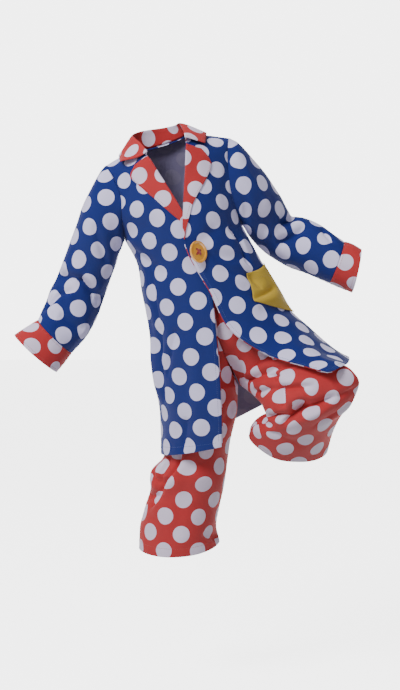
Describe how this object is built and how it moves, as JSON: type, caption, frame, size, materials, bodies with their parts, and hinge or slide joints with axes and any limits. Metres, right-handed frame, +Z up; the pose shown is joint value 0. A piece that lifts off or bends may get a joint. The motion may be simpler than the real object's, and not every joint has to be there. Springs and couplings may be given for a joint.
{
  "type": "clown costume",
  "caption": "Child's clown costume in its worn form: long spotted coat with wide lapels, contrast cuffs and patch pocket, over wide three-quarter trousers with one leg raised.",
  "frame": {"origin": "middle of the neck opening, where the wearer's neck holds the costume up", "axes": "+Z up, towards the collar; -Y is the costume's front; +X is towards the wearer's left sleeve"},
  "size_m": [0.72, 0.3629, 0.9006],
  "materials": {
    "blue_cloth": "matte",
    "red_cloth": "matte",
    "yellow_cloth": "matte",
    "button_plastic": "gloss"
  },
  "bodies": {
    "root": {"coat_front_right": "blue_cloth", "coat_front_left": "blue_cloth", "coat_back": "blue_cloth", "sleeve_right": "blue_cloth", "sleeve_left": "blue_cloth", "cuff_right": "red_cloth", "cuff_left": "red_cloth", "collar": "red_cloth", "lapel_right": "red_cloth", "lapel_left": "red_cloth", "front_facing_right": "red_cloth", "front_facing_left": "red_cloth", "pocket_left": "yellow_cloth", "button": "button_plastic", "waistband": "red_cloth", "trousers_front_right": "red_cloth", "trousers_back_right": "red_cloth", "trousers_front_left": "red_cloth", "trousers_back_left": "red_cloth"}
  },
  "joints": []
}
